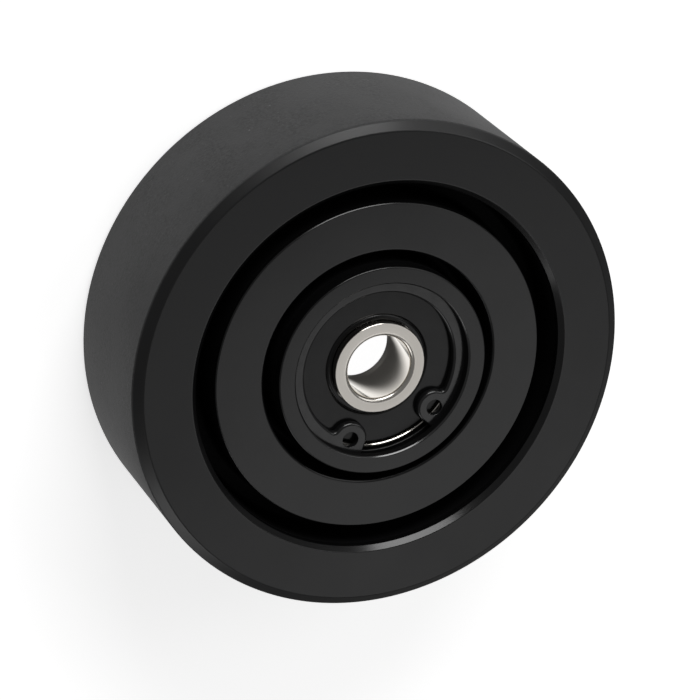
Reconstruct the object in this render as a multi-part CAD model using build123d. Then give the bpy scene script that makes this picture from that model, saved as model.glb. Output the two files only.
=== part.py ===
"""Rubber wheel: a solid rubber tyre bonded to a cast and turned wheel centre, which runs on
one sealed ball bearing held in the hub by an internal retaining ring.

Millimetres. The wheel's axis is Z, with the side that carries the retaining ring facing +Z.
The origin is the centre of the axle bore, halfway along the bearing.
"""
import os
from math import cos, isclose, radians, sin, tan

from build123d import *

# Bearing: a 17 x 47 x 14 deep-groove size with a long inner ring
axle_bore_diameter = 17.0
bearing_diameter = 47.0
outer_ring_width = 14.0
inner_ring_overhang = 2.0
bore_chamfer = 1.1
lead_in_length = 2.6
lead_in_rise = 0.4
lead_in_chamfer = 0.8
ring_end_chamfer = 0.25
outer_ring_chamfer = 0.8
seal_seat_chamfer = 0.15
seal_land_wall = 3.6
seal_seat_wall = 1.6
shoulder_setback = 2.1
ball_count = 7
ball_clearance = 0.08
ball_to_section = 0.582
shoulder_gap_to_ball = 0.63
race_conformity = 0.52
seal_land_diameter = axle_bore_diameter + 2 * seal_land_wall
seal_seat_diameter = bearing_diameter - 2 * seal_seat_wall
pitch_diameter = (axle_bore_diameter + bearing_diameter) / 2
ball_diameter = ball_to_section * (bearing_diameter - axle_bore_diameter) / 2
race_shoulder_gap = shoulder_gap_to_ball * ball_diameter
inner_shoulder_diameter = pitch_diameter - race_shoulder_gap
outer_shoulder_diameter = pitch_diameter + race_shoulder_gap
inner_shoulder_width = outer_ring_width - 2 * shoulder_setback

# Bearing cage: two pressed halves riveted between the balls
cage_sheet = 0.8
cage_band_to_gap = 0.545
cage_seal_clearance = 0.4
pocket_clearance = 0.12
rivet_diameter = 1.2
rivet_head_diameter = 2.0
rivet_head_height = 0.45
rivet_head_radius = 0.3
rivet_clearance = 0.03
cage_band = cage_band_to_gap * race_shoulder_gap

# Bearing seals
seal_seat_depth = 1.5
seal_plate = 0.8
seal_recess = 0.3
seal_bead = 0.9
seal_lip_width = 1.5
seal_lip_drop = 0.45
seal_lip_thickness = 0.9
seal_edge_radius = 0.15
seal_rim_chamfer = 0.75
seal_seat_clearance = 0.05
seal_lip_clearance = 0.1

# Internal retaining ring and its groove in the hub
clip_thickness = 1.75
clip_groove_depth = 1.25
clip_groove_play = 0.1
clip_seat_clearance = 0.05
clip_beam = 3.65
clip_eccentricity = 0.1
lug_setback = 3.1
lug_half_angle = 35.5
lug_radius = 4.0
lug_hole_diameter = 4.2
lug_root_radius = 1.6
clip_edge_radius = 0.18
clip_groove_chamfer = 0.12
clip_groove_diameter = bearing_diameter + 2 * clip_groove_depth
clip_opening_diameter = clip_groove_diameter - 2 * (clip_seat_clearance + clip_beam)
lug_pitch_diameter = bearing_diameter - 2 * lug_setback

# Tyre
wheel_diameter = 132.0
tyre_width = 42.5
tyre_thickness = 13.6
tyre_bevel_radial = 2.5
tyre_bevel_axial = 1.75
tyre_edge_radius = 0.4
tyre_front_height = 10.4

# Wheel centre: rim
rim_thickness = 3.0
rim_lip_chamfer = 1.3
rim_lip_land = 0.25
rubber_over_rim = 1.6
rim_inner_diameter = wheel_diameter - 2 * (tyre_thickness + rim_thickness)

# Wheel centre: hub, and the shoulder in it that the bearing rests on
hub_wall = 4.6
hub_stand = 0.8
hub_edge_radius = 0.4
hub_bore_chamfer = 0.3
shoulder_reach = 3.0
shoulder_thickness = 3.0
bearing_seat_clearance = 0.01
hub_diameter = bearing_diameter + 2 * hub_wall
hub_back_height = -(outer_ring_width / 2 + shoulder_thickness)
shoulder_opening_diameter = bearing_diameter - 2 * shoulder_reach

# Wheel centre: folded web with a raised land between two ring grooves
outer_groove_width = 5.3
inner_groove_width = 3.1
land_drop = 2.0
land_skin = 3.8
land_wall_share = 0.25
web_floor_thickness = 4.0
web_back_height = -8.0
cast_draft = 1.0
groove_floor_radius = 1.2
floor_rounding_share = 0.45
cast_radius = 2.0
land_outer_chamfer = 0.3
land_inner_rounding = 0.9
land_outer_diameter = rim_inner_diameter - 2 * outer_groove_width
land_inner_diameter = hub_diameter + 2 * inner_groove_width
land_wall = land_wall_share * (land_outer_diameter - land_inner_diameter) / 2

# Heights and radii that follow from the sizes above
wheel_radius = wheel_diameter / 2
tyre_back_height = tyre_front_height - tyre_width
rim_inner_radius = rim_inner_diameter / 2
rim_outer_radius = rim_inner_radius + rim_thickness
rim_lip_radius = rim_inner_radius + rim_lip_chamfer + rim_lip_land
land_outer_radius = land_outer_diameter / 2
land_inner_radius = land_inner_diameter / 2
land_height = tyre_front_height - land_drop
floor_height = web_back_height + web_floor_thickness
hub_radius = hub_diameter / 2
hub_front_height = tyre_front_height + hub_stand
seat_radius = bearing_diameter / 2
bore_radius = axle_bore_diameter / 2
outer_ring_end = outer_ring_width / 2
inner_ring_end = outer_ring_end + inner_ring_overhang
pitch_radius = pitch_diameter / 2
ball_radius = ball_diameter / 2
race_radius = race_conformity * ball_diameter
seal_land_radius = seal_land_diameter / 2
seal_seat_radius = seal_seat_diameter / 2
seal_plate_top = outer_ring_end - seal_recess
seal_plate_back = seal_plate_top - seal_plate
clip_groove_radius = clip_groove_diameter / 2
clip_groove_top = outer_ring_end + clip_thickness + clip_groove_play


def section(inner_radius, outer_radius, low, high):
    """Rectangle in the half plane through the axis, between two radii and two heights."""
    middle = Pos((inner_radius + outer_radius) / 2, (low + high) / 2)
    return Plane.XZ * middle * Rectangle(outer_radius - inner_radius, high - low)


def drafted_slot(inner_radius, outer_radius, mouth, floor):
    """Section of a cast ring groove, widest at its mouth, with rounded floor corners."""
    taper = abs(mouth - floor) * tan(radians(cast_draft))
    floor_width = outer_radius - inner_radius - 2 * taper
    corners = [
        (inner_radius, mouth),
        (outer_radius, mouth),
        (outer_radius - taper, floor),
        (inner_radius + taper, floor),
    ]
    slot = Plane.XZ * make_face(Polyline(*corners, close=True))
    floor_corners = [vertex for vertex in slot.vertices() if isclose(vertex.Z, floor, abs_tol=1e-6)]
    return fillet(floor_corners, min(groove_floor_radius, floor_rounding_share * floor_width))


def circle_edges(solid, radius, height):
    """Circular edges of a turned solid at one radius and one height."""
    rings = solid.edges().filter_by(GeomType.CIRCLE)
    return rings.filter_by(
        lambda edge: isclose(edge.radius, radius, abs_tol=1e-3)
        and isclose(edge.arc_center.Z, height, abs_tol=1e-3)
    )


def round_about_axis(count, radius, first_angle):
    """Places spread evenly on a circle about the axis."""
    step = 360 / count
    for number in range(count):
        angle = radians(first_angle + number * step)
        yield Pos(radius * cos(angle), radius * sin(angle), 0)


def make_tyre():
    """Solid rubber band, bevelled at both edges, moulded over the ends of the rim."""
    side_radius = wheel_radius - tyre_bevel_radial
    front_bevel = tyre_front_height - tyre_bevel_axial
    back_bevel = tyre_back_height + tyre_bevel_axial
    front_lap = tyre_front_height - rubber_over_rim
    back_lap = tyre_back_height + rubber_over_rim
    outline = [
        (rim_lip_radius, tyre_front_height),
        (side_radius, tyre_front_height),
        (wheel_radius, front_bevel),
        (wheel_radius, back_bevel),
        (side_radius, tyre_back_height),
        (rim_lip_radius, tyre_back_height),
        (rim_lip_radius, back_lap),
        (rim_outer_radius, back_lap),
        (rim_outer_radius, front_lap),
        (rim_lip_radius, front_lap),
    ]
    tyre = revolve(Plane.XZ * make_face(Polyline(*outline, close=True)), Axis.Z)
    soft_edges = circle_edges(tyre, side_radius, tyre_front_height)
    soft_edges += circle_edges(tyre, wheel_radius, front_bevel)
    soft_edges += circle_edges(tyre, wheel_radius, back_bevel)
    soft_edges += circle_edges(tyre, side_radius, tyre_back_height)
    return fillet(soft_edges, tyre_edge_radius)


def make_wheel_centre():
    """Casting turned on the rim, faces and hub bore: rim, folded web and hub in one piece."""
    rim_back = tyre_back_height + rubber_over_rim
    rim_front = tyre_front_height - rubber_over_rim
    rim = section(rim_inner_radius, rim_lip_radius, tyre_back_height, tyre_front_height)
    rim += section(rim_inner_radius, rim_outer_radius, rim_back, rim_front)
    web = section(hub_radius, rim_inner_radius, web_back_height, land_height)
    hub = section(shoulder_opening_diameter / 2, hub_radius, hub_back_height, hub_front_height)
    profile = rim + web + hub
    profile -= drafted_slot(land_outer_radius, rim_inner_radius, land_height, floor_height)
    profile -= drafted_slot(hub_radius, land_inner_radius, land_height, floor_height)
    pocket_inner = land_inner_radius + land_wall
    pocket_outer = land_outer_radius - land_wall
    profile -= drafted_slot(pocket_inner, pocket_outer, web_back_height, land_height - land_skin)
    profile -= section(0, seat_radius, -outer_ring_end, hub_front_height)
    profile -= section(seat_radius, clip_groove_radius, outer_ring_end, clip_groove_top)
    centre = revolve(profile, Axis.Z)

    lips = circle_edges(centre, rim_inner_radius, tyre_front_height)
    lips += circle_edges(centre, rim_inner_radius, tyre_back_height)
    centre = chamfer(lips, rim_lip_chamfer)
    centre = chamfer(circle_edges(centre, seat_radius, hub_front_height), hub_bore_chamfer)
    centre = chamfer(circle_edges(centre, seat_radius, outer_ring_end), clip_groove_chamfer)
    centre = chamfer(circle_edges(centre, land_outer_radius, land_height), land_outer_chamfer)
    centre = fillet(circle_edges(centre, land_inner_radius, land_height), land_inner_rounding)
    hub_rims = circle_edges(centre, hub_radius, hub_front_height)
    hub_rims += circle_edges(centre, hub_radius, hub_back_height)
    centre = fillet(hub_rims, hub_edge_radius)
    web_roots = circle_edges(centre, rim_inner_radius, web_back_height)
    return fillet(web_roots, cast_radius)


def make_inner_ring():
    """Ground inner ring: axle bore, shoulder with the ball race, and a land at each end."""
    ring = section(bore_radius, seal_land_radius, -inner_ring_end, inner_ring_end)
    half_shoulder = inner_shoulder_width / 2
    ring += section(bore_radius, inner_shoulder_diameter / 2, -half_shoulder, half_shoulder)
    race_centre = pitch_radius - ball_radius - ball_clearance + race_radius
    ring -= Plane.XZ * Pos(race_centre, 0) * Circle(race_radius)
    lead_in_end = lead_in_chamfer - inner_ring_end
    lead_in = [
        (bore_radius, lead_in_end + lead_in_length),
        (bore_radius + lead_in_rise, lead_in_end),
        (bore_radius + lead_in_rise + lead_in_chamfer, -inner_ring_end),
        (bore_radius, -inner_ring_end),
    ]
    ring -= Plane.XZ * make_face(Polyline(*lead_in, close=True))
    solid = revolve(ring, Axis.Z)
    solid = chamfer(circle_edges(solid, bore_radius, inner_ring_end), bore_chamfer)
    ends = circle_edges(solid, seal_land_radius, inner_ring_end)
    ends += circle_edges(solid, seal_land_radius, -inner_ring_end)
    return chamfer(ends, ring_end_chamfer)


def make_outer_ring():
    """Outer ring with the ball race and a seal seat turned into each end."""
    outside = seat_radius - bearing_seat_clearance
    ring = section(outer_shoulder_diameter / 2, outside, -outer_ring_end, outer_ring_end)
    race_centre = pitch_radius + ball_radius + ball_clearance - race_radius
    ring -= Plane.XZ * Pos(race_centre, 0) * Circle(race_radius)
    seat_floor = outer_ring_end - seal_seat_depth
    ring -= section(0, seal_seat_radius, seat_floor, outer_ring_end)
    ring -= section(0, seal_seat_radius, -outer_ring_end, -seat_floor)
    solid = revolve(ring, Axis.Z)
    rims = circle_edges(solid, outside, outer_ring_end) + circle_edges(solid, outside, -outer_ring_end)
    solid = chamfer(rims, outer_ring_chamfer)
    mouths = circle_edges(solid, seal_seat_radius, outer_ring_end)
    mouths += circle_edges(solid, seal_seat_radius, -outer_ring_end)
    return chamfer(mouths, seal_seat_chamfer)


def make_seal():
    """Rubber seal of the front side: bead in the outer ring's seat, plate, and lip over the land."""
    outside = seal_seat_radius - seal_seat_clearance
    lip_inside = seal_land_radius + seal_lip_clearance
    lip_outside = lip_inside + seal_lip_width
    lip_top = seal_plate_top - seal_lip_drop
    seal = section(lip_outside, outside, seal_plate_back, seal_plate_top)
    seal += section(outside - seal_bead, outside, outer_ring_end - seal_seat_depth, seal_plate_top)
    seal += section(lip_inside, lip_outside, lip_top - seal_lip_thickness, lip_top)
    solid = revolve(seal, Axis.Z)
    solid = chamfer(circle_edges(solid, outside, seal_plate_top), seal_rim_chamfer)
    edges = circle_edges(solid, lip_outside, seal_plate_top)
    edges += circle_edges(solid, lip_inside, lip_top)
    edges += circle_edges(solid, outside - seal_rim_chamfer, seal_plate_top)
    return fillet(edges, seal_edge_radius)


def make_cage_half():
    """Front half of the ball cage: flat bridges and half-round pockets pressed from one band."""
    inner = pitch_radius - cage_band / 2
    outer = pitch_radius + cage_band / 2
    pocket_radius = ball_radius + pocket_clearance
    shell_radius = pocket_radius + cage_sheet
    band = revolve(section(inner, outer, 0, seal_plate_back - cage_seal_clearance), Axis.Z)
    formed = revolve(section(inner, outer, 0, cage_sheet), Axis.Z)
    for place in round_about_axis(ball_count, pitch_radius, 90):
        formed += place * Sphere(shell_radius)
    half = band & formed
    for place in round_about_axis(ball_count, pitch_radius, 90):
        half -= place * Sphere(pocket_radius)
    hole_radius = rivet_diameter / 2 + rivet_clearance
    head_radius = rivet_head_diameter / 2 + rivet_clearance
    head_room = Pos(0, 0, cage_sheet + shell_radius / 2) * Cylinder(head_radius, shell_radius)
    for place in round_about_axis(ball_count, pitch_radius, 90 + 180 / ball_count):
        half -= place * Cylinder(hole_radius, 4 * cage_sheet)
        half -= place * head_room
    return half


def make_rivet():
    """Small rivet through both halves of the cage, with a rounded head on each side."""
    rivet = Cylinder(rivet_diameter / 2, 2 * cage_sheet)
    head = Cylinder(rivet_head_diameter / 2, rivet_head_height, align=(Align.CENTER, Align.CENTER, Align.MIN))
    head = fillet(circle_edges(head, rivet_head_diameter / 2, rivet_head_height), rivet_head_radius)
    head = Pos(0, 0, cage_sheet) * head
    return rivet + head + mirror(head, Plane.XY)


def make_retaining_ring():
    """Open spring ring stamped from strip, with a pierced lug at each end of its gap."""
    outside = Circle(clip_groove_radius - clip_seat_clearance)
    opening = Pos(0, -clip_eccentricity) * Circle(clip_opening_diameter / 2)
    reach = 2 * clip_groove_radius
    half_gap = reach * tan(radians(lug_half_angle))
    gap = make_face(Polyline((0, 0), (half_gap, -reach), (-half_gap, -reach), close=True))
    flat = outside - opening - gap
    lug_pitch_radius = lug_pitch_diameter / 2
    lug_arm = clip_groove_radius - lug_pitch_radius
    holes = Sketch()
    for side in (-1, 1):
        place = Rot(0, 0, -90 + side * lug_half_angle) * Pos(lug_pitch_radius, 0)
        flat += place * Circle(lug_radius)
        gap_side = Pos(lug_arm / 2, -side * lug_radius / 2)
        flat += outside & (place * gap_side * Rectangle(lug_arm, lug_radius))
        holes += place * Circle(lug_hole_diameter / 2)
    opening_radius = clip_opening_diameter / 2
    roots = [
        vertex
        for vertex in flat.vertices()
        if isclose(Vector(vertex.X, vertex.Y + clip_eccentricity).length, opening_radius, abs_tol=0.01)
    ]
    flat = fillet(roots, lug_root_radius) - holes
    ring = extrude(flat, clip_thickness)
    rims = ring.edges().group_by(Axis.Z)[-1]
    return Pos(0, 0, outer_ring_end) * fillet(rims, clip_edge_radius)


def save(node, solid):
    """Write one piece to its own file."""
    solid.label = node
    export_step(solid, f"parts/{node}.step")


os.makedirs("parts", exist_ok=True)

save("tyre", make_tyre())
save("wheel_centre", make_wheel_centre())
save("retaining_ring", make_retaining_ring())
save("bearing_outer_ring", make_outer_ring())
save("bearing_inner_ring", make_inner_ring())

seal = make_seal()
save("seal_front", seal)
save("seal_rear", mirror(seal, Plane.XY))

for number, place in enumerate(round_about_axis(ball_count, pitch_radius, 90), start=1):
    save(f"ball_{number}", place * Sphere(ball_radius))

cage_half = make_cage_half()
save("cage_front", cage_half)
save("cage_rear", mirror(cage_half, Plane.XY))

rivet = make_rivet()
for number, place in enumerate(round_about_axis(ball_count, pitch_radius, 90 + 180 / ball_count), start=1):
    save(f"cage_rivet_{number}", place * rivet)
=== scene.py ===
"""Rubber wheel with a black turned centre and a sealed ball bearing, dressed for the camera.

Metres, in the part's own frame: the axle is Z, and the side with the retaining ring faces +Z.
Sizes of the pieces are written in millimetres, as on their drawings.
"""
import math

import bmesh
import bpy
from mathutils import Matrix, Vector


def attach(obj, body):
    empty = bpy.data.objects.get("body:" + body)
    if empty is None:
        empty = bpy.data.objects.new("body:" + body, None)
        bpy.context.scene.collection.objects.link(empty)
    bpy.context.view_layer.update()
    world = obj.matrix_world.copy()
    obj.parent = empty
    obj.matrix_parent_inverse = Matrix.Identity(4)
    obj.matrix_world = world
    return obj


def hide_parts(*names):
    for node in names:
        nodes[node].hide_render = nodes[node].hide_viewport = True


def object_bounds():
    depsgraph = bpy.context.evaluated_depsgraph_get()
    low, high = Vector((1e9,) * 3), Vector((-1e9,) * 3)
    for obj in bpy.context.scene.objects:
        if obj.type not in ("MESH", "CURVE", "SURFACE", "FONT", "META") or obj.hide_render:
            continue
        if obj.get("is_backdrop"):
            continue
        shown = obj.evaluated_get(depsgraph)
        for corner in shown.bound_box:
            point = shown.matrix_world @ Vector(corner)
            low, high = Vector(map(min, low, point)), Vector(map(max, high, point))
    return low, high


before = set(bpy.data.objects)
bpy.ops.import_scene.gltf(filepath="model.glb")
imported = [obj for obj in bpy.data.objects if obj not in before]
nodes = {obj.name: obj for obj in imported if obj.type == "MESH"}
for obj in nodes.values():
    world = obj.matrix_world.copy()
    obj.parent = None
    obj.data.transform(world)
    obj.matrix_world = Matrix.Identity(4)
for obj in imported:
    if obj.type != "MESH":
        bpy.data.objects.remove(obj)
cad_low, cad_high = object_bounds()


# Wheel centre: one casting with the rim, the folded web and the hub. It is turned on its rim,
# its faces and its bore, then painted black. The raised land between the two ring grooves is
# hollow from behind, and the hub's bore has a shoulder for the bearing and a ring groove.
MM = 0.001
same_place = 0.001 * MM
tyre_width = 42.5
wheel_front = 10.4
wheel_back = wheel_front - tyre_width
rubber_lap = 1.6
rim_bore = 49.4
rim_wall = 3.0
rim_lip = 1.3
rim_land = 0.25
rim_edge = rim_bore + rim_lip + rim_land
rim_outside = rim_bore + rim_wall
bearing_seat = 23.5
bearing_end = 7.0
hub_wall = 4.6
hub_stand = 0.8
shoulder_reach = 3.0
shoulder_thickness = 3.0
hub_outside = bearing_seat + hub_wall
hub_front = wheel_front + hub_stand
hub_back = -bearing_end - shoulder_thickness
shoulder_opening = bearing_seat - shoulder_reach
outer_groove = 5.3
inner_groove = 3.1
land_drop = 2.0
land_skin = 3.8
land_wall_share = 0.25
land_edge = 0.3
land_front = wheel_front - land_drop
land_outside = rim_bore - outer_groove
land_inside = hub_outside + inner_groove
land_wall = land_wall_share * (land_outside - land_inside)
web_back = -8.0
web_wall = 4.0
groove_floor = web_back + web_wall
pocket_outside = land_outside - land_wall
pocket_inside = land_inside + land_wall
pocket_floor = land_front - land_skin
clip_groove_depth = 1.25
clip_groove_width = 1.85
clip_groove_edge = 0.12
clip_groove = bearing_seat + clip_groove_depth
clip_groove_top = bearing_end + clip_groove_width
bore_edge = 0.4
turned_edge = 0.12
cast_edge = 0.4
cast_root = 1.2
rim_root = 2.0
draft = math.tan(math.radians(1.0))
groove_draft = draft * (land_front - groove_floor)
pocket_draft = draft * (pocket_floor - web_back)


def pick_vertices(mesh, wanted):
    """Select the vertices for which wanted(place) is true, and no others."""
    form = bmesh.from_edit_mesh(mesh)
    for vertex in form.verts:
        vertex.select = wanted(vertex.co)
    form.select_flush_mode()
    bmesh.update_edit_mesh(mesh)


def pick_edges(mesh, wanted, sharpness=45):
    """Select the edges that are sharper than an angle and whose middle is wanted, and no others."""
    bpy.ops.mesh.select_mode(type="EDGE")
    bpy.ops.mesh.select_all(action="DESELECT")
    form = bmesh.from_edit_mesh(mesh)
    for edge in form.edges:
        middle = (edge.verts[0].co + edge.verts[1].co) / 2
        edge.select_set(edge.calc_face_angle(0) > math.radians(sharpness) and wanted(middle))
    form.select_flush_mode()
    bmesh.update_edit_mesh(mesh)


def single_vertex(name, place):
    """New piece in edit mode, with one selected vertex at a place, from which it is drawn."""
    bpy.ops.object.select_all(action="DESELECT")
    bpy.ops.mesh.primitive_plane_add(size=MM, location=(0, 0, 0))
    piece = bpy.context.object
    piece.name = name
    bpy.ops.object.mode_set(mode="EDIT")
    bpy.ops.mesh.select_mode(type="VERT")
    bpy.ops.mesh.select_all(action="SELECT")
    bpy.ops.mesh.merge(type="CENTER")
    bpy.ops.transform.translate(value=place)
    return piece


def shade(piece, smooth_below=30):
    """Leave edit mode with smooth curves, sharp corners and level flat faces."""
    bpy.ops.object.mode_set(mode="OBJECT")
    bpy.ops.object.shade_smooth_by_angle(angle=math.radians(smooth_below))
    bpy.ops.object.modifier_add(type="WEIGHTED_NORMAL")
    weighted = piece.modifiers[-1]
    weighted.keep_sharp = True
    bpy.ops.object.modifier_apply(modifier=weighted.name)


def turn(name, outline, steps=288, rounding_steps=5):
    """Piece turned about the axle from a closed outline of (radius, height, rounding) in mm."""
    place = Vector((outline[0][0] * MM, 0, outline[0][1] * MM))
    piece = single_vertex(name, place)
    for radius, height, _ in outline[1:] + outline[:1]:
        corner = Vector((radius * MM, 0, height * MM))
        bpy.ops.mesh.extrude_region_move(TRANSFORM_OT_translate={"value": corner - place})
        place = corner
    bpy.ops.mesh.select_all(action="SELECT")
    bpy.ops.mesh.remove_doubles(threshold=same_place)
    for radius, height, rounding in outline:
        if rounding:
            corner = Vector((radius * MM, 0, height * MM))
            pick_vertices(piece.data, lambda co: (co - corner).length < same_place)
            bpy.ops.mesh.bevel(affect="VERTICES", offset=rounding * MM, segments=rounding_steps)
    bpy.ops.mesh.select_all(action="SELECT")
    bpy.ops.mesh.spin(steps=steps, angle=2 * math.pi, center=(0, 0, 0), axis=(0, 0, 1))
    bpy.ops.mesh.select_all(action="SELECT")
    bpy.ops.mesh.remove_doubles(threshold=same_place)
    bpy.ops.mesh.normals_make_consistent(inside=False)
    shade(piece)
    return piece


centre_outline = [
    (rim_edge, wheel_front, 0),
    (rim_edge, wheel_front - rubber_lap, 0),
    (rim_outside, wheel_front - rubber_lap, 0),
    (rim_outside, wheel_back + rubber_lap, 0),
    (rim_edge, wheel_back + rubber_lap, 0),
    (rim_edge, wheel_back, 0),
    (rim_bore + rim_lip, wheel_back, turned_edge),
    (rim_bore, wheel_back + rim_lip, turned_edge),
    (rim_bore, web_back, rim_root),
    (pocket_outside, web_back, cast_edge),
    (pocket_outside - pocket_draft, pocket_floor, cast_root),
    (pocket_inside + pocket_draft, pocket_floor, cast_root),
    (pocket_inside, web_back, cast_edge),
    (hub_outside, web_back, 2 * cast_edge),
    (hub_outside, hub_back, cast_edge),
    (shoulder_opening, hub_back, turned_edge),
    (shoulder_opening, -bearing_end, 0),
    (bearing_seat, -bearing_end, 0),
    (bearing_seat, bearing_end - clip_groove_edge, 0),
    (bearing_seat + clip_groove_edge, bearing_end, 0),
    (clip_groove, bearing_end, 0),
    (clip_groove, clip_groove_top, 0),
    (bearing_seat, clip_groove_top, turned_edge),
    (bearing_seat, hub_front - bore_edge, turned_edge),
    (bearing_seat + bore_edge, hub_front, turned_edge),
    (hub_outside, hub_front, cast_edge),
    (hub_outside + groove_draft, groove_floor, cast_root),
    (land_inside - groove_draft, groove_floor, cast_root),
    (land_inside, land_front, 2 * cast_edge),
    (land_outside - land_edge, land_front, turned_edge),
    (land_outside, land_front - land_edge, turned_edge),
    (land_outside + groove_draft, groove_floor, cast_root),
    (rim_bore - groove_draft, groove_floor, cast_root),
    (rim_bore, wheel_front - rim_lip, turned_edge),
    (rim_bore + rim_lip, wheel_front, turned_edge),
]
wheel_centre = turn("turned_wheel_centre", centre_outline)


def new_material(name, colour, roughness, metallic=0.0, specular=0.5):
    """New material with a colour, roughness and gloss: returns it, its shader and its tree."""
    material = bpy.data.materials.new(name)
    material.use_nodes = True
    tree = material.node_tree
    shader = tree.nodes["Principled BSDF"]
    shader.inputs["Base Color"].default_value = (*colour, 1)
    shader.inputs["Roughness"].default_value = roughness
    shader.inputs["Metallic"].default_value = metallic
    shader.inputs["Specular IOR Level"].default_value = specular
    return material, shader, tree


def object_place(tree):
    """Place of the point that is shaded, in the piece's own coordinates."""
    return tree.nodes.new("ShaderNodeTexCoord").outputs["Object"]


def axle_distance(tree, place):
    """Distance from the axle to a place."""
    flat = tree.nodes.new("ShaderNodeVectorMath")
    flat.operation = "MULTIPLY"
    flat.inputs[1].default_value = (1, 1, 0)
    length = tree.nodes.new("ShaderNodeVectorMath")
    length.operation = "LENGTH"
    tree.links.new(place, flat.inputs[0])
    tree.links.new(flat.outputs["Vector"], length.inputs[0])
    return length.outputs["Value"]


def axle_height(tree, place):
    """Height of a place along the axle."""
    split = tree.nodes.new("ShaderNodeSeparateXYZ")
    tree.links.new(place, split.inputs[0])
    return split.outputs["Z"]


def noise(tree, vector, scale, detail, roughness=0.5):
    """Noise texture on a vector, with its fineness and its detail."""
    texture = tree.nodes.new("ShaderNodeTexNoise")
    texture.inputs["Scale"].default_value = scale
    texture.inputs["Detail"].default_value = detail
    texture.inputs["Roughness"].default_value = roughness
    tree.links.new(vector, texture.inputs["Vector"])
    return texture.outputs["Fac"]


def spread(tree, value, start, end, low, high):
    """Turn a value between start and end into one between low and high."""
    remap = tree.nodes.new("ShaderNodeMapRange")
    remap.inputs["From Min"].default_value = start
    remap.inputs["From Max"].default_value = end
    remap.inputs["To Min"].default_value = low
    remap.inputs["To Max"].default_value = high
    tree.links.new(value, remap.inputs["Value"])
    return remap.outputs["Result"]


def vary(tree, texture, low, high):
    """Turn a noise texture, over the range that it mostly keeps to, into low to high."""
    return spread(tree, texture, start=0.3, end=0.7, low=low, high=high)


def maths(tree, operation, *values):
    """Result of an operation on values, each of them a number or another node's output."""
    node = tree.nodes.new("ShaderNodeMath")
    node.operation = operation
    for socket, value in zip(node.inputs, values):
        if isinstance(value, float):
            socket.default_value = value
        else:
            tree.links.new(value, socket)
    return node.outputs["Value"]


def turned_lines(tree, place, fineness):
    """Fine rings about the axle, as a lathe tool or a grinding wheel leaves them."""
    join = tree.nodes.new("ShaderNodeCombineXYZ")
    tree.links.new(axle_distance(tree, place), join.inputs["X"])
    tree.links.new(axle_height(tree, place), join.inputs["Z"])
    return noise(tree, join.outputs["Vector"], scale=fineness, detail=3)


def blend(tree, amount, colour, other):
    """Colour between two others, by an amount from 0 to 1."""
    mix = tree.nodes.new("ShaderNodeMix")
    mix.data_type = "RGBA"
    tree.links.new(amount, mix.inputs["Factor"])
    for end, name in ((colour, "A"), (other, "B")):
        socket = next(s for s in mix.inputs if s.name == name and s.type == "RGBA")
        if isinstance(end, tuple):
            socket.default_value = (*end, 1)
        else:
            tree.links.new(end, socket)
    return next(s for s in mix.outputs if s.type == "RGBA")


def add_relief(tree, shader, height, depth):
    """Fine relief on a material, from a height value and its depth in mm."""
    bump = tree.nodes.new("ShaderNodeBump")
    bump.inputs["Strength"].default_value = 1.0
    bump.inputs["Distance"].default_value = depth * MM
    tree.links.new(height, bump.inputs["Height"])
    tree.links.new(bump.outputs["Normal"], shader.inputs["Normal"])


painted_black = (0.003, 0.003, 0.0032)
painted_grey = (0.005, 0.005, 0.0052)
paint_roughness = (0.18, 0.22)
matt_roughness = 0.35
face_gloss = 0.5
edge_gloss = 1.0
matt_gloss_share = 0.14
matt_below = 6.6
satin_above = 7.6
bored_wall_end = bearing_seat + 0.02
bored_wall_fade = bearing_seat + 0.08
bore_edge_end = bearing_seat + bore_edge
bore_edge_fade = bore_edge_end + 0.05
black_metal, shader, tree = new_material("satin black metal", painted_black, 0.2)
place = object_place(tree)
reach = axle_distance(tree, place)
height = axle_height(tree, place)
cloud = noise(tree, place, scale=60, detail=3)
tree.links.new(blend(tree, cloud, painted_black, painted_grey), shader.inputs["Base Color"])
low = spread(tree, height, start=matt_below * MM, end=satin_above * MM, low=1, high=0)
bored = spread(tree, reach, start=bored_wall_end * MM, end=bored_wall_fade * MM, low=1, high=0)
matt = maths(tree, "MAXIMUM", low, bored)
satin = vary(tree, cloud, *paint_roughness)
roughness = maths(tree, "MULTIPLY_ADD", matt, matt_roughness, satin)
tree.links.new(roughness, shader.inputs["Roughness"])
shine = spread(tree, matt, start=0, end=1, low=1, high=matt_gloss_share)
edge_shine = spread(
    tree,
    reach,
    start=bore_edge_end * MM,
    end=bore_edge_fade * MM,
    low=edge_gloss,
    high=face_gloss,
)
gloss = maths(tree, "MULTIPLY", shine, edge_shine)
tree.links.new(gloss, shader.inputs["Specular IOR Level"])
add_relief(tree, shader, turned_lines(tree, place, fineness=2600), depth=0.0006)
wheel_centre.data.materials.append(black_metal)
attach(wheel_centre, "wheel")
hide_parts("wheel_centre")


# Tyre: one solid band of black rubber, moulded and bonded over the rim. Its tread is ground true
# and matt, with dust and small scuffs. Its sides and bevels are as smooth as the mould left them.
tread = 66.0
bevel_radial = 2.5
bevel_axial = 1.75
moulded_edge = 0.28
tyre_outline = [
    (rim_edge, wheel_front, 0),
    (tread - bevel_radial, wheel_front, moulded_edge),
    (tread, wheel_front - bevel_axial, moulded_edge),
    (tread, wheel_back + bevel_axial, moulded_edge),
    (tread - bevel_radial, wheel_back, moulded_edge),
    (rim_edge, wheel_back, 0),
    (rim_edge, wheel_back + rubber_lap, 0),
    (rim_outside, wheel_back + rubber_lap, 0),
    (rim_outside, wheel_front - rubber_lap, 0),
    (rim_edge, wheel_front - rubber_lap, 0),
]
tyre = turn("rubber_tyre", tyre_outline, steps=360)

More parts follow.
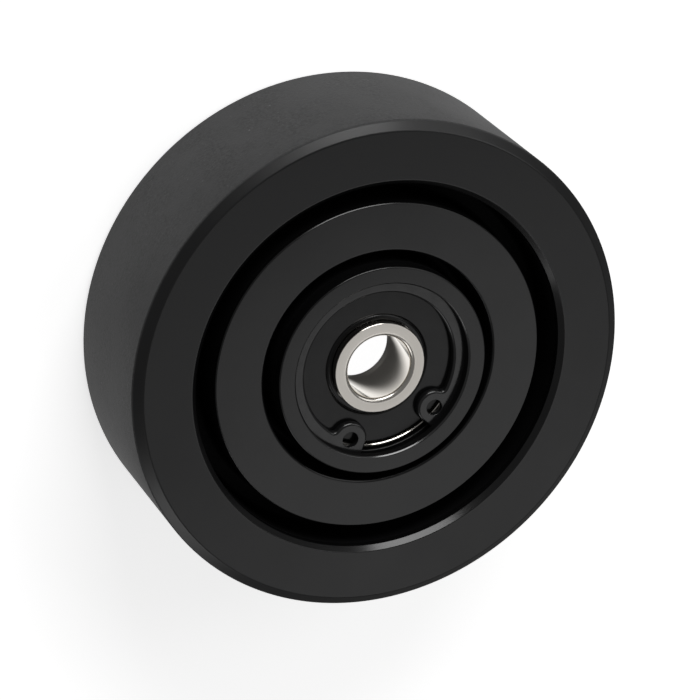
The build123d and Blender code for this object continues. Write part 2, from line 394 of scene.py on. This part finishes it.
moulded_black = (0.006, 0.006, 0.0063)
moulded_grey = (0.009, 0.009, 0.0094)
ground_black = (0.011, 0.011, 0.0115)
ground_grey = (0.056, 0.056, 0.057)
dusty_grey = (0.046, 0.046, 0.047)
scuffed_grey = (0.2, 0.2, 0.2)
moulded_roughness = (0.28, 0.34)
ground_roughness = 0.3
ground_start = tread - 0.35
ground_end = tread - 0.1
tyre_rubber, shader, tree = new_material("tyre rubber", moulded_black, 0.4)
place = object_place(tree)
reach = axle_distance(tree, place)
ground = spread(tree, reach, start=ground_start * MM, end=ground_end * MM, low=0, high=1)
cloud = noise(tree, place, scale=45, detail=4)
grain = noise(tree, place, scale=1300, detail=3, roughness=0.75)
patches = noise(tree, place, scale=90, detail=3, roughness=0.6)
dust = spread(tree, patches, start=0.4, end=0.62, low=0, high=1)
specks = noise(tree, place, scale=800, detail=5, roughness=0.75)
scuffs = spread(tree, specks, start=0.655, end=0.74, low=0, high=1)
moulded = blend(tree, cloud, moulded_black, moulded_grey)
worn = blend(tree, vary(tree, grain, 0, 1), ground_black, ground_grey)
worn = blend(tree, dust, worn, dusty_grey)
worn = blend(tree, scuffs, worn, scuffed_grey)
tree.links.new(blend(tree, ground, moulded, worn), shader.inputs["Base Color"])
smooth = vary(tree, cloud, *moulded_roughness)
roughness = maths(tree, "MULTIPLY_ADD", ground, ground_roughness, smooth)
tree.links.new(roughness, shader.inputs["Roughness"])
add_relief(tree, shader, maths(tree, "MULTIPLY", grain, ground), depth=0.11)
tyre.data.materials.append(tyre_rubber)
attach(tyre, "wheel")
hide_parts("tyre")


# Bearing rings: hardened steel, ground all over. The outer ring is pressed into the hub. The
# inner ring stands proud at both ends for the axle's spacers, and its bore is the smoothest.
ring_play = 0.01
outer_chamfer = 1.1
seal_wall = 1.6
seal_depth = 1.5
mouth_edge = 0.15
axle_bore = 8.5
inner_wall = 3.6
inner_overhang = 2.0
corner_radius = 1.1
end_edge = 0.08
lead_in = 0.4
lead_in_edge = 0.8
lead_in_length = 2.6
shoulder_setback = 2.1
shoulder_from_pitch = 2.75
race_round = 4.54
race_offset = 0.095
ring_outside = bearing_seat - ring_play
seal_mouth = bearing_seat - seal_wall
seal_ledge = bearing_end - seal_depth
pitch_radius = (axle_bore + bearing_seat) / 2
outer_shoulder = pitch_radius + shoulder_from_pitch
inner_shoulder = pitch_radius - shoulder_from_pitch
shoulder_end = bearing_end - shoulder_setback
race_reach = math.acos((shoulder_from_pitch + race_offset) / race_round)
inner_outside = axle_bore + inner_wall
inner_end = bearing_end + inner_overhang
lead_in_start = lead_in_edge + lead_in_length - inner_end


def race(facing, steps=12):
    """Outline points of a ball race: 1 for the outer ring's, -1 for the inner ring's."""
    middle = pitch_radius - facing * race_offset
    points = []
    for step in range(steps + 1):
        angle = facing * race_reach * (2 * step / steps - 1)
        radius = middle + facing * race_round * math.cos(angle)
        points.append((radius, race_round * math.sin(angle), 0))
    return points


outer_ring_outline = [
    (outer_shoulder, -seal_ledge, 0),
    *race(1),
    (outer_shoulder, seal_ledge, 0),
    (seal_mouth, seal_ledge, 0),
    (seal_mouth, bearing_end - mouth_edge, 0),
    (seal_mouth + mouth_edge, bearing_end, 0),
    (ring_outside - outer_chamfer, bearing_end, turned_edge),
    (ring_outside, bearing_end - outer_chamfer, turned_edge),
    (ring_outside, outer_chamfer - bearing_end, turned_edge),
    (ring_outside - outer_chamfer, -bearing_end, turned_edge),
    (seal_mouth + mouth_edge, -bearing_end, 0),
    (seal_mouth, mouth_edge - bearing_end, 0),
    (seal_mouth, -seal_ledge, 0),
]
outer_ring = turn("ground_outer_ring", outer_ring_outline)

inner_ring_outline = [
    (axle_bore, inner_end, corner_radius),
    (inner_outside - end_edge, inner_end, 0),
    (inner_outside, inner_end - end_edge, 0),
    (inner_outside, shoulder_end, 0),
    (inner_shoulder, shoulder_end, 0),
    *race(-1),
    (inner_shoulder, -shoulder_end, 0),
    (inner_outside, -shoulder_end, 0),
    (inner_outside, end_edge - inner_end, 0),
    (inner_outside - end_edge, -inner_end, 0),
    (axle_bore + lead_in + lead_in_edge, -inner_end, turned_edge),
    (axle_bore + lead_in, lead_in_edge - inner_end, turned_edge),
    (axle_bore, lead_in_start, cast_edge),
]
inner_ring = turn("ground_inner_ring", inner_ring_outline)

bright_steel = (0.78, 0.745, 0.69)
grey_steel = (0.70, 0.668, 0.62)
corner_roughness = 0.24
face_roughness = 0.3
honed_share = 0.4
outside_share = 0.4
bore_start = axle_bore + 0.05
bore_end = axle_bore + 0.15
corner_end = axle_bore + corner_radius
face_start = corner_end + 0.15
face_end = inner_outside - 0.1
ring_steel, shader, tree = new_material("ground bearing steel", bright_steel, 0.2, metallic=1.0)
place = object_place(tree)
reach = axle_distance(tree, place)
rings = turned_lines(tree, place, fineness=5200)
tree.links.new(blend(tree, rings, grey_steel, bright_steel), shader.inputs["Base Color"])
bore = spread(tree, reach, start=bore_start * MM, end=bore_end * MM, low=1, high=0)
face = spread(tree, reach, start=corner_end * MM, end=face_start * MM, low=0, high=1)
level = maths(tree, "MAXIMUM", bore, face)
turned = spread(tree, level, start=0, end=1, low=corner_roughness, high=face_roughness)
honed = spread(tree, bore, start=0, end=1, low=1, high=honed_share)
outside = spread(
    tree, reach, start=face_end * MM, end=inner_outside * MM, low=1, high=outside_share
)
roughness = maths(tree, "MULTIPLY", turned, maths(tree, "MULTIPLY", honed, outside))
tree.links.new(roughness, shader.inputs["Roughness"])
add_relief(tree, shader, rings, depth=0.0003)
for ring, node, body in (
    (outer_ring, "bearing_outer_ring", "wheel"),
    (inner_ring, "bearing_inner_ring", "axle_side"),
):
    ring.data.materials.append(ring_steel)
    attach(ring, body)
    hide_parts(node)


# Balls, cage and rivets: seven polished balls in a cage of two pressed halves, riveted between
# the balls. They keep the solids' own shapes, because the seals close them in on both sides.
polished_steel = (0.65, 0.65, 0.65)
polished_roughness = (0.06, 0.14)
ball_steel, shader, tree = new_material("polished ball steel", polished_steel, 0.1, metallic=1.0)
haze = noise(tree, object_place(tree), scale=400, detail=2)
tree.links.new(vary(tree, haze, *polished_roughness), shader.inputs["Roughness"])

sheet_steel = (0.42, 0.41, 0.39)
sheet_roughness = (0.32, 0.5)
cage_steel, shader, tree = new_material("pressed sheet steel", sheet_steel, 0.4, metallic=1.0)
rolled = noise(tree, object_place(tree), scale=900, detail=3)
tree.links.new(vary(tree, rolled, *sheet_roughness), shader.inputs["Roughness"])
add_relief(tree, shader, rolled, depth=0.01)

for finish, start in ((ball_steel, "ball_"), (cage_steel, "cage_")):
    for name, node in nodes.items():
        if name.startswith(start):
            node.data.materials.clear()
            node.data.materials.append(finish)


# Seals: one on each side, a ring of black rubber over a steel washer. The bead snaps into the
# seat of the outer ring, and the thin lip runs just clear of the inner ring's land.
seal_recess = 0.3
seal_thickness = 0.8
seal_play = 0.05
seal_bead = 0.9
seal_slope = 0.75
seal_edge = 0.15
lip_clearance = 0.1
lip_width = 1.5
lip_drop = 0.1
lip_thickness = 1.25
groove_from_lip = 0.2
groove_depth = 0.4
groove_half = 0.35
groove_round = 0.05
seal_front = bearing_end - seal_recess
seal_back = seal_front - seal_thickness
seal_outside = seal_mouth - seal_play
lip_inside = inner_outside + lip_clearance
lip_outside = lip_inside + lip_width
lip_front = seal_front - lip_drop
lip_back = lip_front - lip_thickness
lip_groove = lip_outside - groove_from_lip
seal_outline = [
    (lip_inside, lip_front, seal_edge),
    (lip_inside, lip_back, 0),
    (lip_outside, lip_back, 0),
    (lip_outside, seal_back, 0),
    (seal_outside - seal_bead, seal_back, 0),
    (seal_outside - seal_bead, seal_ledge, 0),
    (seal_outside, seal_ledge, 0),
    (seal_outside, seal_front - seal_slope, 0),
    (seal_outside - seal_slope, seal_front, seal_edge),
    (lip_groove + groove_half, seal_front, seal_edge),
    (lip_groove, seal_front - groove_depth, groove_round),
    (lip_groove - groove_half, lip_front, seal_edge),
]
front_seal = turn("front_seal", seal_outline)
rear_seal = turn("rear_seal", [(radius, -height, soft) for radius, height, soft in seal_outline])

soft_black = (0.003, 0.003, 0.0032)
soft_grey = (0.005, 0.005, 0.0052)
skin_roughness = (0.18, 0.22)
skin_gloss = 0.33
seal_rubber, shader, tree = new_material("seal rubber", soft_black, 0.2, specular=skin_gloss)
skin = noise(tree, object_place(tree), scale=300, detail=3)
tree.links.new(blend(tree, skin, soft_black, soft_grey), shader.inputs["Base Color"])
tree.links.new(vary(tree, skin, *skin_roughness), shader.inputs["Roughness"])
for seal, node in ((front_seal, "seal_front"), (rear_seal, "seal_rear")):
    seal.data.materials.append(seal_rubber)
    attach(seal, "wheel")
    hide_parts(node)


# Retaining ring: spring steel strip, stamped to an open ring with a pierced lug at each end, and
# blackened in oil. Sprung into the groove of the hub, it keeps the bearing from coming out.
clip_play = 0.1
clip_clearance = 0.05
clip_beam = 4.35
clip_eccentricity = 0.1
lug_setback = 3.1
lug_half_angle = 35.5
lug_round = 4.6
lug_hole = 2.1
root_round = 1.0
rolled_edge = 0.75
stamped_edge = 0.12
arc_step = 0.35
hole_margin = 0.1
outside_margin = 0.2
strip = clip_groove_width - clip_play
clip_outside = clip_groove - clip_clearance
clip_opening = clip_outside - clip_beam
opening_middle = Vector((0, -clip_eccentricity, 0))
lug_reach = bearing_seat - lug_setback
lug_angle = math.radians(lug_half_angle - 90)

along = Vector((math.cos(lug_angle), math.sin(lug_angle), 0))
across = Vector((-along.y, along.x, 0))
lug = along * lug_reach
lug_foot = lug - across * lug_round
lug_tip = along * math.sqrt(clip_outside**2 - lug_round**2) - across * lug_round
span = lug - opening_middle
root_inside = clip_opening - root_round
root_outside = lug_round + root_round
root_along = (root_inside**2 - root_outside**2 + span.length_squared) / (2 * span.length)
root_across = math.sqrt(root_inside**2 - root_along**2)
root = opening_middle + span.normalized() * root_along
root += Vector((-span.y, span.x, 0)).normalized() * root_across
lug_touch = lug + (root - lug) * lug_round / root_outside
opening_touch = opening_middle + (root - opening_middle).normalized() * clip_opening
clip_top = Vector((0, clip_outside, 0))
opening_top = opening_middle + Vector((0, clip_opening, 0))
arcs_before_edge = [(Vector((0, 0, 0)), clip_top, lug_tip, 1)]
arcs_after_edge = [
    (lug, lug_foot, lug_touch, 1),
    (root, lug_touch, opening_touch, -1),
    (opening_middle, opening_touch, opening_top, -1),
]


def on_ledge(place, side):
    """Place on the groove's ledge, in metres, for the right half (1) or the left half (-1)."""
    return Vector((side * place.x, place.y, bearing_end)) * MM


def draw_arcs(arcs, side):
    """Draw the selected vertex round arcs of (middle, start, end, 1 if clockwise or -1)."""
    for middle, start, end, clockwise in arcs:
        first = math.atan2(start.y - middle.y, start.x - middle.x)
        last = math.atan2(end.y - middle.y, end.x - middle.x)
        angle = (clockwise * (first - last)) % (2 * math.pi)
        steps = round(angle * (start - middle).length / arc_step)
        angle *= side * clockwise
        bpy.ops.mesh.spin(steps=steps, angle=angle, center=on_ledge(middle, side), axis=(0, 0, 1))


def on_top(co):
    """Whether a place is in the upper half of the strip's thickness."""
    return co.z > (bearing_end + strip / 2) * MM


def on_hole(co):
    """Whether a place is on the upper edge of a lug's hole."""
    from_lug = math.hypot(abs(co.x) / MM - lug.x, co.y / MM - lug.y)
    return on_top(co) and from_lug < lug_hole + hole_margin


def on_inner_outline(co):
    """Whether a place is on the ring's upper edge, but not on a hole or on the outside."""
    inside = math.hypot(co.x, co.y) < (clip_outside - outside_margin) * MM
    return on_top(co) and inside and not on_hole(co)


retaining_ring = single_vertex("stamped_retaining_ring", on_ledge(clip_top, 1))
for side in (1, -1):
    start = on_ledge(clip_top, side)
    pick_vertices(retaining_ring.data, lambda co: (co - start).length < same_place)
    draw_arcs(arcs_before_edge, side)
    gap_edge = on_ledge(lug_foot, side) - on_ledge(lug_tip, side)
    bpy.ops.mesh.extrude_region_move(TRANSFORM_OT_translate={"value": gap_edge})
    draw_arcs(arcs_after_edge, side)
bpy.ops.mesh.select_all(action="SELECT")
bpy.ops.mesh.remove_doubles(threshold=10 * same_place)
for side in (1, -1):
    middle = on_ledge(lug, side)
    bpy.ops.mesh.primitive_circle_add(vertices=48, radius=lug_hole * MM, location=middle)
bpy.ops.mesh.select_all(action="SELECT")
bpy.ops.mesh.fill(use_beauty=True)
bpy.ops.mesh.select_all(action="SELECT")
bpy.ops.mesh.dissolve_limited(angle_limit=math.radians(1), use_dissolve_boundaries=False)
bpy.ops.mesh.select_all(action="SELECT")
bpy.ops.mesh.extrude_region_move(TRANSFORM_OT_translate={"value": (0, 0, strip * MM)})
pick_edges(retaining_ring.data, on_inner_outline)
bpy.ops.mesh.bevel(affect="EDGES", offset=rolled_edge * MM, segments=4)
pick_edges(retaining_ring.data, on_hole)
bpy.ops.mesh.bevel(affect="EDGES", offset=stamped_edge * MM, segments=3)
bpy.ops.mesh.select_all(action="SELECT")
bpy.ops.mesh.normals_make_consistent(inside=False)
shade(retaining_ring)

oiled_black = (0.006, 0.006, 0.0063)
oiled_grey = (0.011, 0.011, 0.0115)
oil_roughness = (0.16, 0.22)
oil_gloss = 0.6
spring_steel, shader, tree = new_material(
    "oiled black spring steel", oiled_black, 0.18, specular=oil_gloss
)
oil = noise(tree, object_place(tree), scale=500, detail=3)
tree.links.new(blend(tree, oil, oiled_black, oiled_grey), shader.inputs["Base Color"])
tree.links.new(vary(tree, oil, *oil_roughness), shader.inputs["Roughness"])
add_relief(tree, shader, oil, depth=0.0008)
retaining_ring.data.materials.append(spring_steel)
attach(retaining_ring, "wheel")
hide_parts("retaining_ring")


# Floor: a wide white sheet that the wheel lies on. It glows for the camera, so that it reads as
# white, and keeps the wheel's soft shadow. Under the middle of the wheel it glows brighter, a
# painted light that fills the wheel's shade where the bore shows the floor. What shiny surfaces
# mirror of it is a painted reflection: greyer than the floor is lit, dark in the middle, bright
# from about 20 mm out to about 95 mm from the axle, and gone past 125 mm.
floor_size = 12.0
floor_white = 0.6
floor_seen_white = 0.9
# Painted reflection: what mirrors see of the floor is greyer than the lamps light it.
floor_painted_reflection_grey = 0.35
floor_glow = 0.66
# Painted light: the camera sees the floor glow brighter under the middle of the wheel, in its
# shade.
painted_light_under_wheel = 0.98
painted_light_radius = 34.0
# Painted reflection: glow that only mirrors see, as (distance from the axle in mm, strength).
painted_reflection_rings = (
    (0, 0.1),
    (9, 0.04),
    (15, 0.03),
    (19.5, 1.2),
    (60, 0.6),
    (72, 0.7),
    (95, 0.7),
    (125, 0),
    (200, 0),
)
painted_reflection_end = painted_reflection_rings[-1][0]
bpy.ops.object.select_all(action="DESELECT")
bpy.ops.mesh.primitive_plane_add(size=floor_size, location=(0, 0, cad_low.z))
floor = bpy.context.object
floor.name = "white_floor"
white, shader, tree = new_material("white studio floor with painted light", (floor_white,) * 3, 0.9, specular=0.0)
paths = tree.nodes.new("ShaderNodeLightPath")
by_camera = paths.outputs["Is Camera Ray"]
by_gloss = paths.outputs["Is Glossy Ray"]
floor_tint_and_painted_reflection = blend(tree, by_camera, (floor_white,) * 3, (floor_seen_white,) * 3)
# Painted reflection: glossy rays see the floor's darker grey.
floor_tint_and_painted_reflection = blend(tree, by_gloss, floor_tint_and_painted_reflection, (floor_painted_reflection_grey,) * 3)
tree.links.new(floor_tint_and_painted_reflection, shader.inputs["Base Color"])
shader.inputs["Emission Color"].default_value = (1, 1, 1, 1)
reach = axle_distance(tree, object_place(tree))
# Painted light: even glow outside the wheel, brighter glow under its middle, for the camera only.
glow_and_painted_light = spread(
    tree,
    reach,
    start=painted_light_radius * MM,
    end=rim_bore * MM,
    low=painted_light_under_wheel,
    high=floor_glow,
)
ramp = tree.nodes.new("ShaderNodeValToRGB")
for distance, _ in painted_reflection_rings[1:-1]:
    ramp.color_ramp.elements.new(distance / painted_reflection_end)
for element, (_, strength) in zip(ramp.color_ramp.elements, painted_reflection_rings):
    element.color = (strength, strength, strength, 1)
ramp_place = spread(tree, reach, start=0, end=painted_reflection_end * MM, low=0, high=1)
tree.links.new(ramp_place, ramp.inputs["Fac"])
seen_glow_and_painted_light = maths(tree, "MULTIPLY", glow_and_painted_light, by_camera)
# Painted reflection: the ringed glow is added for glossy rays only.
painted_reflection = maths(tree, "MULTIPLY", ramp.outputs["Color"], by_gloss)
tree.links.new(maths(tree, "ADD", seen_glow_and_painted_light, painted_reflection), shader.inputs["Emission Strength"])
floor.data.materials.append(white)
floor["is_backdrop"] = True


# Studio: a strong soft lamp on the side that the tread faces, a round one across from it for the
# flat faces, two weak ones for the edges, and a plain grey room that the camera sees as white.
def soft_lamp(name, way, distance, width, height, brightness, shape="RECTANGLE"):
    """Area lamp in a direction from the wheel, with its size in metres and its brightness."""
    data = bpy.data.lights.new(name, "AREA")
    data.shape = shape
    data.size = width
    data.size_y = height
    area = width * height
    if shape == "ELLIPSE":
        area *= math.pi / 4
    data.energy = brightness * math.pi * area
    lamp = bpy.data.objects.new(name, data)
    bpy.context.collection.objects.link(lamp)
    lamp.location = Vector(way).normalized() * distance
    lamp.rotation_euler = lamp.location.to_track_quat("Z", "Y").to_euler()


soft_lamp("main_lamp", (0.3, 0.83, 0.46), distance=1.5, width=0.95, height=0.65, brightness=5.6)
soft_lamp(
    "face_lamp",
    (0.275, -0.635, 0.72),
    distance=1.6,
    width=0.95,
    height=0.95,
    brightness=0.74,
    shape="ELLIPSE",
)
soft_lamp("left_lamp", (-0.55, -0.7, 0.43), distance=1.6, width=0.75, height=0.74, brightness=1.5)
soft_lamp("right_lamp", (0.72, 0.25, 0.65), distance=1.5, width=0.8, height=0.79, brightness=1.2)

room_grey = 0.15
world = bpy.data.worlds.new("studio")
bpy.context.scene.world = world
world.use_nodes = True
tree = world.node_tree
room = tree.nodes["Background"]
room.inputs["Color"].default_value = (1, 1, 1, 1)
paths = tree.nodes.new("ShaderNodeLightPath")
room_light = spread(tree, paths.outputs["Is Camera Ray"], start=0, end=1, low=room_grey, high=1)
tree.links.new(room_light, room.inputs["Strength"])


# Camera: as in the photograph, high on one side, turned so that the wheel's axis points down
# and to the right, with a long lens.
picture_width = 700
focal_length_pixels = 3400
camera_place = Vector((-0.21623, 0.40378, 0.73624))
camera_right = Vector((0.90634, -0.20196, 0.37115)).normalized()
camera_up = Vector((0.34398, 0.86279, -0.37051))
camera_up = (camera_up - camera_right * camera_up.dot(camera_right)).normalized()
axes = Matrix((camera_right, camera_up, camera_right.cross(camera_up))).transposed()
camera_data = bpy.data.cameras.new("camera")
camera_data.sensor_width = 36
camera_data.lens = camera_data.sensor_width * focal_length_pixels / picture_width
camera_data.clip_start = 0.01
camera_data.clip_end = 50
camera = bpy.data.objects.new("camera", camera_data)
bpy.context.collection.objects.link(camera)
camera.matrix_world = Matrix.Translation(camera_place) @ axes.to_4x4()
bpy.context.scene.camera = camera
bpy.context.scene.view_settings.view_transform = "Standard"

low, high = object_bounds()
